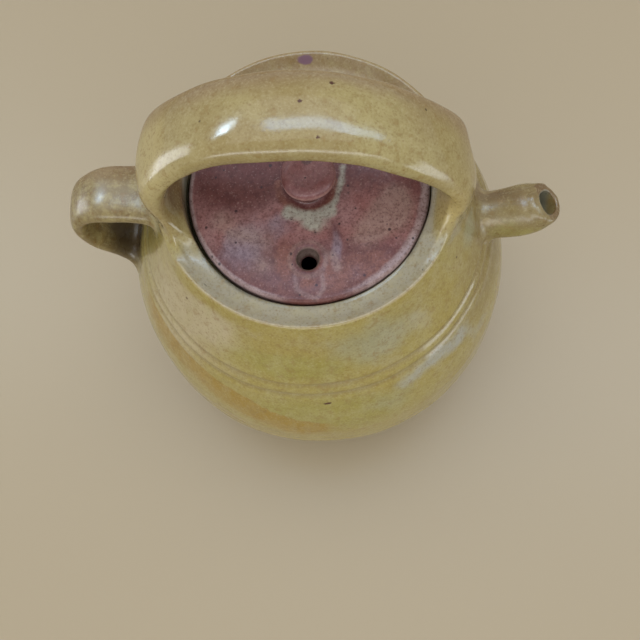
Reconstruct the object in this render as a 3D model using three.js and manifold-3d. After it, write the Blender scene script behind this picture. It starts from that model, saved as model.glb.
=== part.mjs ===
// A hand-thrown stoneware teapot: a round body with a recessed lid, a carrying handle arched
// over the lid, a short spout on one side and a small ear handle on the other.
// Millimetres, +Z up. The origin is the centre of the foot, on the surface the pot stands on.
// +X points from the body to the spout, -X to the ear handle.

import * as THREE from 'three';
import { mergeVertices } from 'three/addons/utils/BufferGeometryUtils.js';
import Module from 'manifold-3d';

const wasm = await Module();
wasm.setup();

// ---------------------------------------------------------------- driving dimensions

// Body
const FOOT_RADIUS = 60;
const BELLY_RADIUS = 99.6;
const BELLY_HEIGHT = 72;
const LOWER_SEMI_AXIS = 91;
const RIM_RADIUS = 65;
const RIM_HEIGHT = 174;
const WALL = 6.5;
const FLOOR_THICKNESS = 8;
const GROOVE_HEIGHTS = [129, 135.5];
const GROOVE_DEPTH = 0.8;
const GROOVE_HALF_WIDTH = 1.3;

// Seat of the lid: a recess in the rim, with a ledge at its bottom
const RECESS_RADIUS = 53.4;
const RECESS_LIP_HEIGHT = 169.2;
const LEDGE_HEIGHT = 161;
const THROAT_RADIUS = 45.5;
const THROAT_BOTTOM = 156.5;

// Lid and knob
const LID_RADIUS = 52.4;
const LID_TOP = 170;
const LID_CROWN = 1.6;
const LID_HOLLOW_RADIUS = 40;
const LID_HOLLOW_DEPTH = 2.2;
const VENT_RADIUS = 3.5;
const VENT_MOUTH_RADIUS = 4.8;
const VENT_DISTANCE = 35;
const KNOB_RADIUS = 11.5;
const KNOB_STEM_RADIUS = 7;
const KNOB_HEIGHT = 19;

// Carrying handle: a strap in an arch over the lid, from the ear's side to the spout's side
const ARCH_Y = -1;
const ARCH_ROUTE = [
  [-63.5, 158], [-64.5, 178], [-61, 195], [-50.3, 209.2], [-36.2, 219.9], [-19.7, 226.6], [-2, 228.9],
  [15.7, 226.6], [32.2, 219.9], [46.3, 209.2], [57.1, 195.2], [64, 179], [66, 158],
];
const ARCH_HALF_WIDTH = 16.5;
const ARCH_SIDE_WIDENING = 2;
const ARCH_HALF_THICKNESS = 6.4;
const ROOT_HALF_SIZES = new THREE.Vector3(9.6, 23.5, 13);
const ROOT_HEIGHT = 165;

// Ear handle: a thinner strap in a loop beside the shoulder
const EAR_Y = 0.8;
const EAR_ROUTE = [
  [-62, 163], [-80, 165.5], [-96, 164.6], [-106.5, 155], [-107, 139], [-99, 122], [-84, 101],
];
const EAR_HALF_WIDTH = 12;
const EAR_HALF_THICKNESS = 4.2;

// Spout: a short tube that rises and turns up at its mouth
const SPOUT_ROUTE = [[64, 130.5], [76, 134], [88, 137.6], [98, 141.2], [104.5, 145.2], [109, 150]];
const SPOUT_Y = -0.5;
const SPOUT_RADIUS = 11.2;
const SPOUT_TIP_RADIUS = 9.4;
const SPOUT_BORE_RADIUS = 6.6;

// Touching clay pieces keep this gap
const GAP = 0.3;
const ROUND_SEGMENTS = 56;

// ---------------------------------------------------------------- solids

// Closed solid of a geometry, with shared vertices merged and collapsed triangles dropped
function solidFrom(geometry) {
  const bare = geometry.clone();
  bare.deleteAttribute('normal');
  bare.deleteAttribute('uv');
  const merged = mergeVertices(bare, 1e-4);
  const index = merged.index.array;
  const kept = [];
  for (let i = 0; i < index.length; i += 3) {
    const [a, b, c] = [index[i], index[i + 1], index[i + 2]];
    if (a !== b && b !== c && c !== a) kept.push(a, b, c);
  }
  const mesh = new wasm.Mesh({
    numProp: 3,
    vertProperties: new Float32Array(merged.attributes.position.array),
    triVerts: new Uint32Array(kept),
  });
  mesh.merge();
  return new wasm.Manifold(mesh);
}

// The biggest of the lumps that a cut leaves
function biggestPart(solid) {
  return solid.decompose().reduce((best, part) => (part.volume() > best.volume() ? part : best));
}

function geometryFrom(solid) {
  const mesh = solid.getMesh();
  const geometry = new THREE.BufferGeometry();
  geometry.setAttribute('position', new THREE.BufferAttribute(new Float32Array(mesh.vertProperties), 3));
  geometry.setIndex(new THREE.BufferAttribute(new Uint32Array(mesh.triVerts), 1));
  geometry.computeVertexNormals();
  return geometry;
}

// Solid of revolution about Z from [radius, height] points that start and end on the axis
function revolved(profile, segments = ROUND_SEGMENTS) {
  const points = profile.map(([radius, height]) => new THREE.Vector2(radius, height));
  const geometry = new THREE.LatheGeometry(points, segments);
  geometry.rotateX(Math.PI / 2);
  return solidFrom(geometry);
}

// Rounded strap section: an ellipse with squarer shoulders
function strapShape(points) {
  const SQUARENESS = 0.8;
  const shape = new THREE.Shape();
  for (let i = 0; i < points; i++) {
    const angle = (2 * Math.PI * i) / points;
    const [c, s] = [Math.cos(angle), Math.sin(angle)];
    const x = Math.sign(c) * Math.abs(c) ** SQUARENESS;
    const y = Math.sign(s) * Math.abs(s) ** SQUARENESS;
    if (i === 0) shape.moveTo(x, y);
    else shape.lineTo(x, y);
  }
  shape.closePath();
  return shape;
}

function circleShape(points) {
  const shape = new THREE.Shape();
  shape.absarc(0, 0, 1, 0, 2 * Math.PI);
  return new THREE.Shape(shape.getSpacedPoints(points).slice(0, points));
}

// Sweeps a unit shape along a curve in the XZ plane. The shape's x runs along Y and its y along
// the curve's outer side; sizeAt(t) gives the half sizes [along Y, across the curve].
function swept(shape, curve, steps, sizeAt) {
  const geometry = new THREE.ExtrudeGeometry(shape, { depth: 1, steps, bevelEnabled: false });
  const position = geometry.attributes.position;
  for (let i = 0; i < position.count; i++) {
    const t = position.getZ(i);
    const centre = curve.getPoint(t);
    const tangent = curve.getTangent(t);
    const outward = new THREE.Vector3(-tangent.z, 0, tangent.x).normalize();
    const [halfWidth, halfThickness] = sizeAt(t);
    const y = centre.y + position.getX(i) * halfWidth;
    const across = position.getY(i) * halfThickness;
    position.setXYZ(i, centre.x + outward.x * across, y, centre.z + outward.z * across);
  }
  return solidFrom(geometry);
}

function routeCurve(route, y) {
  return new THREE.CatmullRomCurve3(route.map(([x, z]) => new THREE.Vector3(x, y, z)), false, 'centripetal');
}

// Lump of clay pressed round a joint: a ball stretched to its three half sizes
function lump(centre, halfSizes) {
  const geometry = new THREE.SphereGeometry(1, 18, 10);
  geometry.scale(...halfSizes);
  geometry.translate(...centre);
  return solidFrom(geometry);
}

// ---------------------------------------------------------------- body

// Outer wall above the belly, as [radius, height]
const SHOULDER_STATIONS = [
  [BELLY_RADIUS, BELLY_HEIGHT], [97, 95], [91, 115], [81.5, 135], [74.5, 150], [70, 160], [67, 168],
  [RIM_RADIUS, RIM_HEIGHT - 1],
];
const shoulderPoints = SHOULDER_STATIONS.map(([r, z]) => new THREE.Vector2(r, z));
const shoulder = new THREE.SplineCurve(shoulderPoints).getPoints(200);

// Below the belly the wall is a quarter ellipse, and above it the shoulder's curve
function wallRadiusAt(height) {
  if (height <= BELLY_HEIGHT) {
    return BELLY_RADIUS * Math.sqrt(1 - ((BELLY_HEIGHT - height) / LOWER_SEMI_AXIS) ** 2);
  }
  const i = Math.max(1, shoulder.findIndex((point) => point.y >= height));
  const [low, high] = [shoulder[i - 1], shoulder[i]];
  return low.x + ((high.x - low.x) * (height - low.y)) / (high.y - low.y);
}

// Outer wall from the foot to the rim, with the turned grooves on the shoulder
function outerWall(grow) {
  const heights = [1.5, 8, 18, 30, 44, 58, 72, 86, 100, 112, 122, 144, 154, 163, RIM_HEIGHT - 1];
  const wall = heights.map((z) => [wallRadiusAt(z) + grow, z]);
  for (const middle of GROOVE_HEIGHTS) {
    for (const [offset, depth] of [[-GROOVE_HALF_WIDTH, 0], [0, GROOVE_DEPTH], [GROOVE_HALF_WIDTH, 0]]) {
      wall.push([wallRadiusAt(middle + offset) + grow - depth, middle + offset]);
    }
  }
  return wall.sort((a, b) => a[1] - b[1]);
}

// Top of the rim: a rounded edge and a shallow hollow that slopes in to the lip of the recess
function rimTop(grow) {
  return [
    [RIM_RADIUS - 0.8, RIM_HEIGHT + grow],
    [RIM_RADIUS - 2.4, RIM_HEIGHT - 0.2 + grow],
    [RIM_RADIUS - 4.6, RIM_HEIGHT - 2.0 + grow],
    [RIM_RADIUS - 7.6, RIM_HEIGHT - 3.9 + grow],
    [RECESS_RADIUS + 1.0, RECESS_LIP_HEIGHT + grow],
  ];
}

function innerWall() {
  const heights = [144, 128, 112, 92, 72, 54, 36, 22];
  return heights.map((z) => [wallRadiusAt(z) - WALL, z]);
}

function bodyShell() {
  const profile = [
    [0, 0], [FOOT_RADIUS, 0],
    ...outerWall(0),
    ...rimTop(0),
    [RECESS_RADIUS, RECESS_LIP_HEIGHT - 1],
    [RECESS_RADIUS, LEDGE_HEIGHT],
    [THROAT_RADIUS + 0.8, LEDGE_HEIGHT],
    [THROAT_RADIUS, LEDGE_HEIGHT - 0.8],
    [THROAT_RADIUS, THROAT_BOTTOM],
    [THROAT_RADIUS + 2, THROAT_BOTTOM - 1],
    [wallRadiusAt(151) - WALL - 3, 151.5],
    ...innerWall(),
    [64, 12.5], [54, FLOOR_THICKNESS + 0.8], [44, FLOOR_THICKNESS], [0, FLOOR_THICKNESS],
  ];
  return revolved(profile).subtract(spoutHole());
}

// The body without its hollow, a little larger, for cutting the pieces that are stuck on it
function bodyEnvelope() {
  const lidRoom = RECESS_RADIUS + 1;
  return revolved([
    [0, -GAP], [FOOT_RADIUS + GAP, -GAP],
    ...outerWall(GAP),
    ...rimTop(GAP),
    [lidRoom, RIM_HEIGHT + 6], [0, RIM_HEIGHT + 6],
  ]);
}

// ---------------------------------------------------------------- spout

const spoutCurve = routeCurve(SPOUT_ROUTE, SPOUT_Y);

function spoutRadiusAt(t) {
  const flare = 2.4 * Math.max(0, 1 - t / 0.35) ** 2;
  const taper = (SPOUT_RADIUS - SPOUT_TIP_RADIUS) * Math.max(0, (t - 0.55) / 0.45) ** 1.6;
  return SPOUT_RADIUS + flare - taper;
}

function spoutTube(grow) {
  return swept(circleShape(24), spoutCurve, 14, (t) => [spoutRadiusAt(t) + grow, spoutRadiusAt(t) + grow]);
}

// Bore, run past the mouth so that it opens the tip
function spoutBore() {
  const tip = spoutCurve.getPoint(1);
  const ahead = spoutCurve.getTangent(1).multiplyScalar(4).add(tip);
  const points = [...SPOUT_ROUTE.map(([x, z]) => new THREE.Vector3(x, SPOUT_Y, z)), ahead];
  const curve = new THREE.CatmullRomCurve3(points, false, 'centripetal');
  return swept(circleShape(20), curve, 14, () => [SPOUT_BORE_RADIUS, SPOUT_BORE_RADIUS]);
}

// Hole through the wall behind the spout, along the start of the spout's route
function spoutHole() {
  const start = spoutCurve.getPoint(0);
  const direction = spoutCurve.getTangent(0);
  const inner = direction.clone().multiplyScalar(-14).add(start);
  const outer = direction.clone().multiplyScalar(26).add(start);
  const line = new THREE.LineCurve3(inner, outer);
  return swept(circleShape(20), line, 1, () => [SPOUT_BORE_RADIUS, SPOUT_BORE_RADIUS]);
}

function spout(envelope) {
  return spoutTube(0).subtract(spoutBore()).subtract(envelope);
}

function spoutLutingCoil(envelope) {
  const t = 0.33;
  const centre = spoutCurve.getPoint(t);
  const size = SPOUT_RADIUS + 3.6;
  const coil = lump([centre.x, centre.y, centre.z], [8.5, size, size]);
  return biggestPart(coil.subtract(spoutTube(GAP)).subtract(envelope));
}

// ---------------------------------------------------------------- carrying handle

const archCurve = routeCurve(ARCH_ROUTE, ARCH_Y);

// The strap widens towards both feet
function archSizeAt(t, grow) {
  const side = Math.cos(Math.PI * t) ** 2;
  const root = Math.max(0, Math.abs(2 * t - 1) - 0.8) / 0.2;
  const halfWidth = ARCH_HALF_WIDTH + ARCH_SIDE_WIDENING * side + 2.2 * root ** 2;
  return [halfWidth + grow, ARCH_HALF_THICKNESS + grow];
}

function archStrap(grow) {
  return swept(strapShape(16), archCurve, 30, (t) => archSizeAt(t, grow));
}

function archRootLump(side, grow) {
  const legX = side < 0 ? ARCH_ROUTE[1][0] - 1 : ARCH_ROUTE.at(-2)[0] + 1;
  const halfSizes = ROOT_HALF_SIZES.toArray().map((size) => size + grow);
  return lump([legX, ARCH_Y, ROOT_HEIGHT], halfSizes);
}

// Clay pressed round the foot of one leg, which ends inside it
function archRoot(side, envelope) {
  const root = archRootLump(side, 0);
  return biggestPart(root.subtract(archStrap(GAP)).subtract(envelope));
}

// ---------------------------------------------------------------- ear handle

const earCurve = routeCurve(EAR_ROUTE, EAR_Y);

function earStrap(grow) {
  const sizeAt = (t) => {
    const root = Math.max(0, Math.abs(2 * t - 1) - 0.55) / 0.45;
    return [EAR_HALF_WIDTH + 1.6 * root ** 2 + grow, EAR_HALF_THICKNESS + grow];
  };
  return swept(strapShape(14), earCurve, 22, sizeAt);
}

function earLowerRoot(envelope) {
  const root = lump([-89, EAR_Y, 110], [8, EAR_HALF_WIDTH + 4.5, 9]);
  return biggestPart(root.subtract(earStrap(GAP)).subtract(envelope));
}

// ---------------------------------------------------------------- lid

function lidDisc() {
  const seat = LEDGE_HEIGHT + GAP;
  const profile = [
    [0, seat + LID_HOLLOW_DEPTH],
    [LID_HOLLOW_RADIUS, seat + LID_HOLLOW_DEPTH],
    [LID_HOLLOW_RADIUS + 2.5, seat],
    [LID_RADIUS - 2.4, seat],
    [LID_RADIUS - 0.7, seat + 1.3],
    [LID_RADIUS, seat + 3.4],
    [LID_RADIUS, LID_TOP - 2.6],
    [LID_RADIUS - 0.8, LID_TOP - 0.9],
    [LID_RADIUS - 2.2, LID_TOP],
    [LID_RADIUS - 20, LID_TOP + 0.5 * LID_CROWN],
    [KNOB_STEM_RADIUS + 3, LID_TOP + LID_CROWN],
    [0, LID_TOP + LID_CROWN],
  ];
  const vent = revolved([
    [0, seat - 5], [VENT_RADIUS, seat - 5], [VENT_RADIUS, LID_TOP - 1.6],
    [VENT_MOUTH_RADIUS, LID_TOP + 1.2], [VENT_MOUTH_RADIUS, LID_TOP + 8], [0, LID_TOP + 8],
  ], 20);
  return revolved(profile).subtract(vent.translate([0, -VENT_DISTANCE, 0]));
}

function lidKnob() {
  const base = LID_TOP + LID_CROWN + GAP;
  return revolved([
    [0, base], [KNOB_STEM_RADIUS, base], [KNOB_STEM_RADIUS - 0.6, base + 3],
    [KNOB_STEM_RADIUS + 0.6, base + 5.6], [KNOB_RADIUS - 1.2, base + 7.8], [KNOB_RADIUS, base + 10],
    [KNOB_RADIUS - 0.5, base + 12.6], [KNOB_RADIUS - 2.6, base + 15.4], [KNOB_RADIUS - 5.8, base + 17.4],
    [0, base + KNOB_HEIGHT - 1],
  ], 36);
}

function knobLutingCoil() {
  const base = LID_TOP + LID_CROWN + GAP;
  const inner = KNOB_STEM_RADIUS + GAP;
  return revolved([
    [inner, base], [inner + 3, base], [inner + 2.2, base + 0.9], [inner + 0.6, base + 2.6],
    [inner, base + 3], [inner, base],
  ], 36);
}

// ---------------------------------------------------------------- the pot

const GLAZE = { color: 0xa39250, roughness: 0.18, metalness: 0 };
const COOL_GLAZE = { color: 0x9c9a78, roughness: 0.2, metalness: 0 };
const LID_GLAZE = { color: 0x8c6a66, roughness: 0.35, metalness: 0 };
const KNOB_GLAZE = { color: 0x8a5f58, roughness: 0.3, metalness: 0 };

const teapot = new THREE.Group();

function addPiece(name, solid, finish) {
  const mesh = new THREE.Mesh(geometryFrom(solid), new THREE.MeshStandardMaterial(finish));
  mesh.name = name;
  teapot.add(mesh);
}

const envelope = bodyEnvelope();
const leftRoot = archRoot(-1, envelope);
const rightRoot = archRoot(1, envelope);
const earStub = earStrap(0).subtract(envelope).subtract(archStrap(GAP)).subtract(archRootLump(-1, GAP));

addPiece('body_shell', bodyShell(), GLAZE);
addPiece('spout', spout(envelope), GLAZE);
addPiece('spout_luting_coil', spoutLutingCoil(envelope), COOL_GLAZE);
addPiece('carrying_handle', archStrap(0).subtract(envelope), GLAZE);
addPiece('carrying_handle_left_root', leftRoot, GLAZE);
addPiece('carrying_handle_right_root', rightRoot, GLAZE);
addPiece('ear_handle', earStub, GLAZE);
addPiece('ear_handle_lower_root', earLowerRoot(envelope), GLAZE);
addPiece('lid_disc', lidDisc(), LID_GLAZE);
addPiece('lid_knob', lidKnob(), KNOB_GLAZE);
addPiece('knob_luting_coil', knobLutingCoil(), LID_GLAZE);

export default teapot;
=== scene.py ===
"""Looks for a hand-thrown, honey-glazed stoneware teapot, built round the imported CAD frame.

Shapes are worked out in millimetres and scaled to metres when a mesh is made. The fired pot's
outside is one field, below zero inside the clay: the thrown body, with the arch, ear and spout
blended into it as soft clay. The body is turned and then settled onto its own part of the field.
The arch, ear and spout are cut from the field together with the clay that spreads from them onto
the body, so the pieces meet without a seam.
"""

import math

import bpy
import numpy as np
from mathutils import Matrix, Vector


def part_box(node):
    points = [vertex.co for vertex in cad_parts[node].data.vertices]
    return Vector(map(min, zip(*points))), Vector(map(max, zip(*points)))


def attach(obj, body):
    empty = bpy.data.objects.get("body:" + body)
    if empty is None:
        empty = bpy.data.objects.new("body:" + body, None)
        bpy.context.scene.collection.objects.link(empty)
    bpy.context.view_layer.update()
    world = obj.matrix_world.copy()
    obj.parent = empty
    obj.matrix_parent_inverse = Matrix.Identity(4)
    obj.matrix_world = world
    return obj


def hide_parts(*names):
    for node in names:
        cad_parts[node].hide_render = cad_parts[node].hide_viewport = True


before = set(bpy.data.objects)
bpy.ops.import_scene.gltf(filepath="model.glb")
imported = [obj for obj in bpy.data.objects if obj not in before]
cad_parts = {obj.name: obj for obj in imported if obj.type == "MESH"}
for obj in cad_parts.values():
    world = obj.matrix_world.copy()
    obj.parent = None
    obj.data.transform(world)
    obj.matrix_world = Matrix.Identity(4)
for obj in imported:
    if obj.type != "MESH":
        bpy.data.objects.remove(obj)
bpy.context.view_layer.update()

MM = 0.001


def box_mm(node):
    """Lowest and highest corner of a CAD node, in millimetres."""
    low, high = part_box(node)
    return np.array(low) / MM, np.array(high) / MM


# ---------------------------------------------------------------- sizes, in millimetres

BODY_LOW, BODY_HIGH = box_mm("body_shell")
BELLY_RADIUS = (BODY_HIGH[0] - BODY_LOW[0]) / 2
RIM_HEIGHT = BODY_HIGH[2]
BELLY_HEIGHT = 72.0
LOWER_SEMI_AXIS = 91.0
RIM_RADIUS = 65.0
RIM_ROUNDING = 1.5
WALL = 6.5
FOOT_TUCK = 1.6
FOOT_TUCK_HEIGHT = 2.2
GROOVE_HEIGHTS = (129.0, 135.5)
GROOVE_DEPTHS = (0.8, 0.95)
GROOVE_WIDTH = 1.6
RECESS_RADIUS = 53.4
LEDGE_HEIGHT = 161.0
THROAT_RADIUS = 45.5
LID_ROOM_OVER_RIM = 6.0

ARCH_Y = -1.0
ARCH_ROUTE = [
    (-53, 138), (-56.3, 150), (-58.8, 163), (-61.3, 179), (-60.4, 195), (-50.3, 209.2),
    (-36.2, 219.9), (-19.7, 226.6), (-2, 228.9), (15.7, 226.6), (32.2, 219.9), (46.5, 209.2),
    (57.6, 195.2), (63.6, 180), (63.4, 164), (61, 150), (57, 138),
]
ARCH_HALF_WIDTH = 16.9
ARCH_OUTER_FILLET = 4.2
ARCH_INNER_FILLET = 16.5

EAR_Y = 0.8
EAR_ROUTE = [
    (-50, 158), (-62, 163), (-80, 165.5), (-96, 164.6), (-106.5, 155), (-107, 139), (-99, 122),
    (-84, 101), (-74, 88),
]
EAR_HALF_WIDTH = 11.8
EAR_HALF_THICKNESS = 4.1
EAR_FILLET = 6.0

SPOUT_Y = -0.5
SPOUT_ROUTE = [
    (40, 122.5), (52, 127), (64, 130.5), (76, 133.8), (87.5, 136.8), (96.5, 139.8), (102.8, 143.4),
    (107, 148.4), (109.8, 154.6),
]
SPOUT_TIP = np.array([107.1, SPOUT_Y, 148.6])
SPOUT_AIM = np.array([0.56, 0.0, 0.83])
SPOUT_RADIUS = 11.0
SPOUT_TAPER = 1.6
SPOUT_BORE = 6.2
SPOUT_LIP_ROUNDING = 2.6
SPOUT_BORE_ROUNDING = 0.8
SPOUT_FILLET = 5.0
SPOUT_HOLE_START = np.array([52, SPOUT_Y, 127])
SPOUT_HOLE_AIM = np.array([24, 0, 7.1])
SPOUT_HOLE_LENGTH = 48
SPOUT_REGION_X = 55.0

LID_LOW, LID_HIGH = box_mm("lid_disc")
LID_RADIUS = (LID_HIGH[0] - LID_LOW[0]) / 2
LID_SPREAD = 0.05
LID_CENTRE = (0.45, -0.1)
LID_BOTTOM = LID_LOW[2]
LID_TOP = LID_HIGH[2]
LID_HOLLOW = 1.8
VENT = (0.5, -33.5)
VENT_RADIUS = 3.6
VENT_FLARE = 1.1
KNOB_TOP = box_mm("lid_knob")[1][2]
KNOB_LEAN = (1.4, -1.5)

# How finely the meshes are made.
MESH_STEP = 0.85
SPOUT_MESH_STEP = 0.7 * MESH_STEP
LID_MESH_STEP = 0.8
BODY_SEGMENTS = 320
BODY_STILL_ROWS = 4
KNOB_SEGMENTS = 96
SPOUT_HOLE_SEGMENTS = 48

# ---------------------------------------------------------------- small mathematics


def smooth_min(a, b, size):
    """The lesser of two fields, with the corner between them filled over that size."""
    share = np.clip(0.5 + 0.5 * (b - a) / size, 0, 1)
    return b + (a - b) * share - size * share * (1 - share)


def smooth_max(a, b, size):
    """The greater of two fields, with the edge between them rounded over that size."""
    return -smooth_min(-a, -b, size)


def smooth_step(low, high, x):
    """0 at low and 1 at high, eased between them. Low may be the greater of the two."""
    t = np.clip((x - low) / (high - low), 0, 1)
    return t * t * (3 - 2 * t)


def hump(x, middle, width):
    """1 at the middle, fading out on both sides over the width."""
    return np.exp(-(((x - middle) / width) ** 2))


def waves(p, size, seed, count=6):
    """Smooth wandering unevenness of about that size, roughly from -1.5 to 1.5."""
    rng = np.random.default_rng(seed)
    total = np.zeros(len(p))
    for _ in range(count):
        direction = rng.normal(size=3)
        direction *= 2 * math.pi / (size * rng.uniform(0.75, 1.35) * np.linalg.norm(direction))
        total += np.sin(p @ direction + rng.uniform(0, 2 * math.pi))
    return total * math.sqrt(2 / count) * 0.7


def spline(points, per_span):
    """Catmull-Rom curve through the points."""
    points = np.array(points, float)
    padded = np.vstack([2 * points[0] - points[1], points, 2 * points[-1] - points[-2]])
    t = np.linspace(0, 1, per_span, endpoint=False)[:, None]
    spans = []
    for a, b, c, d in zip(padded, padded[1:], padded[2:], padded[3:]):
        spans.append(
            0.5 * (2 * b + (c - a) * t + (2 * a - 5 * b + 4 * c - d) * t**2
                   + (3 * b - a - 3 * c + d) * t**3)
        )
    return np.vstack([*spans, points[-1:]])


def gradient(field, p, probe=0.06):
    return np.stack(
        [(field(p + e) - field(p - e)) / (2 * probe) for e in np.eye(3) * probe], 1)


def settle(field, p, rounds=4, most=0.6):
    """Moves points onto the surface where the field is zero, by at most so much a round."""
    for _ in range(rounds):
        slope = gradient(field, p)
        push = np.clip(field(p) / np.maximum((slope * slope).sum(1), 0.05), -most, most)
        p = p - slope * push[:, None]
    return p


class Route:
    """A smooth line in a plane of constant y, with a table of the nearest place on it."""

    STEP = 0.5
    MARGIN = 34.0
    SPACING = 0.4
    PER_SPAN = 60

    def __init__(self, points):
        fine = spline(points, self.PER_SPAN)
        run = np.concatenate([[0], np.cumsum(np.linalg.norm(np.diff(fine, axis=0), axis=1))])
        even = np.linspace(0, run[-1], int(run[-1] / self.SPACING))
        line = np.stack([np.interp(even, run, fine[:, i]) for i in range(2)], 1)
        along = np.gradient(line, axis=0)
        along /= np.linalg.norm(along, axis=1)[:, None]
        self.length = run[-1]
        self.low = line.min(0) - self.MARGIN
        sizes = np.ceil((line.max(0) + self.MARGIN - self.low) / self.STEP).astype(int) + 1
        xs = self.low[0] + self.STEP * np.arange(sizes[0])
        zs = self.low[1] + self.STEP * np.arange(sizes[1])
        self.run = np.zeros(sizes)
        self.across = np.zeros(sizes)
        for i, x in enumerate(xs):
            place = np.stack([np.full(len(zs), x), zs], 1)
            square = (place**2).sum(1)[:, None] + (line**2).sum(1) - 2 * place @ line.T
            nearest = square.argmin(1)
            away = place - line[nearest]
            tangent = along[nearest]
            self.run[i] = even[nearest] + (away * tangent).sum(1)
            self.across[i] = -away[:, 0] * tangent[:, 1] + away[:, 1] * tangent[:, 0]

    def at(self, p):
        """How far along the line, and how far to its left side, each point is."""
        u = np.clip((p[:, 0] - self.low[0]) / self.STEP, 0, self.run.shape[0] - 1.001)
        v = np.clip((p[:, 2] - self.low[1]) / self.STEP, 0, self.run.shape[1] - 1.001)
        i, j = u.astype(int), v.astype(int)
        u, v = u - i, v - j
        corners = (((1 - u) * (1 - v), i, j), (u * (1 - v), i + 1, j),
                   ((1 - u) * v, i, j + 1), (u * v, i + 1, j + 1))
        run = sum(share * self.run[a, b] for share, a, b in corners)
        across = sum(share * self.across[a, b] for share, a, b in corners)
        return run, across


# ---------------------------------------------------------------- the pot's outside, as fields

TABLE_STEP = 0.1
BLUR = 20

# The wall's radius at each height.
HEIGHTS = np.arange(-5, 262, TABLE_STEP)
SHOULDER = spline(
    [(BELLY_RADIUS, BELLY_HEIGHT), (97, 95), (91, 115), (81.5, 135), (74.5, 150), (70, 160),
     (67, 168), (RIM_RADIUS, RIM_HEIGHT - 1), (61, RIM_HEIGHT + 9)], 60)
BELOW_BELLY = np.clip(1 - ((BELLY_HEIGHT - HEIGHTS) / LOWER_SEMI_AXIS) ** 2, 0.05, 1)
RADII = np.where(HEIGHTS < BELLY_HEIGHT, BELLY_RADIUS * np.sqrt(BELOW_BELLY),
                 np.interp(HEIGHTS, SHOULDER[:, 1], SHOULDER[:, 0]))
RADII = np.convolve(
    np.pad(RADII, BLUR, mode="edge"), np.ones(2 * BLUR + 1) / (2 * BLUR + 1), mode="valid")
RADII_SLOPE = np.gradient(RADII, TABLE_STEP)

# The rim's height at each radius, from the recess outwards.
RIM_TOP = spline(
    [(RECESS_RADIUS, 168.9), (54.4, 169.15), (57.2, 169.9), (59.6, 171.1), (61.6, 172.7),
     (63.2, 173.9), (64.4, 174.35), (66, 174.5)], 40)
TOP_RADII = np.arange(40, 110, TABLE_STEP)
TOPS = np.interp(TOP_RADII, RIM_TOP[:, 0], RIM_TOP[:, 1])
TOPS_SLOPE = np.gradient(TOPS, TABLE_STEP)


def wall_radius(z):
    return np.interp(z, HEIGHTS, RADII)


def thrown_unevenness(p):
    """Marks of the wheel and the hand on the body: out of round, throwing rings and grooves."""
    x, y, z = p.T
    winding = np.arctan2(y, x) / (2 * math.pi)
    rings = 0.035 * np.sin(2 * math.pi * (z / 6.9 + winding))
    rings = rings + 0.03 * np.sin(2 * math.pi * (z / 11.3 - winding))
    rings *= smooth_step(6, 25, z) * (1 - smooth_step(160, 170, z))
    drift = 0.35 * waves(p, 120, 5)
    grooves = sum(depth * hump(z - drift, height, GROOVE_WIDTH)
                  for height, depth in zip(GROOVE_HEIGHTS, GROOVE_DEPTHS))
    lower, upper = GROOVE_HEIGHTS
    band = 0.45 * smooth_step(upper + 5, upper, z) * smooth_step(lower - 9, lower, z)
    return 0.34 * waves(p, 85, 1) + 0.12 * waves(p, 26, 2) + rings + band - grooves


def thrown_body(p):
    r = np.hypot(p[:, 0], p[:, 1])
    z = p[:, 2]
    wall = (r - wall_radius(z)) / np.sqrt(1 + np.interp(z, HEIGHTS, RADII_SLOPE) ** 2)
    top = z - np.interp(r, TOP_RADII, TOPS)
    top = top / np.sqrt(1 + np.interp(r, TOP_RADII, TOPS_SLOPE) ** 2)
    return smooth_max(wall, top, RIM_ROUNDING) - thrown_unevenness(p)


def strap(across, wide, half_thickness, half_width, power):
    """Distance from a strap's skin, for a section like an ellipse with squarer shoulders."""
    a = (np.abs(wide) / half_width) ** power + 1e-9
    b = (np.abs(across) / half_thickness) ** power + 1e-9
    g = (a + b) ** (1 / power)
    steepness = g / (a + b) * np.hypot(a / (np.abs(wide) + 1e-3), b / (np.abs(across) + 1e-3))
    return (g - 1) / steepness


ARCH = Route(ARCH_ROUTE)
EAR = Route(EAR_ROUTE)
SPOUT = Route(SPOUT_ROUTE)
SPOUT_MOUTH_RUN = SPOUT.at(SPOUT_TIP[None])[0][0]


def arch(p):
    """The strap over the lid. Its edges curl outwards on the sides and inwards at the feet."""
    _, across = ARCH.at(p)
    x, y, z = p.T
    left = x < 0
    side = smooth_step(222, 182, z)
    foot = smooth_step(np.where(left, 207, 193), 168, z)
    shoulder = smooth_step(-12, -36, x) * smooth_step(192, 212, z)
    half_width = ARCH_HALF_WIDTH + 1.8 * side + 5.2 * foot**2 + 0.45 * waves(p, 48, 21)
    half_thickness = np.where(across > 0, 6.6, 6.0) + 0.9 * foot
    wide = y - ARCH_Y
    edge = (np.minimum(np.abs(wide), 24) / half_width) ** 2
    curl = -0.8 + 2.2 * shoulder + np.where(left, 2.6, 3.6) * side - 11.8 * foot
    across = across - curl * edge
    skin = strap(across, wide, half_thickness, half_width, 2.5 - 0.5 * side)
    return skin - 0.16 * waves(p, 24, 22)


def ear(p):
    """The small strap at the side, wider and thicker at both ends."""
    run, across = EAR.at(p)
    ends = smooth_step(62, 36, run) + smooth_step(EAR.length - 50, EAR.length - 24, run)
    half_width = EAR_HALF_WIDTH + 1.8 * ends**2 + 0.35 * waves(p, 34, 31)
    half_thickness = EAR_HALF_THICKNESS + 0.9 * ends
    skin = strap(across, p[:, 1] - EAR_Y, half_thickness, half_width, 2.5)
    return skin - 0.12 * waves(p, 20, 32)


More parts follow.
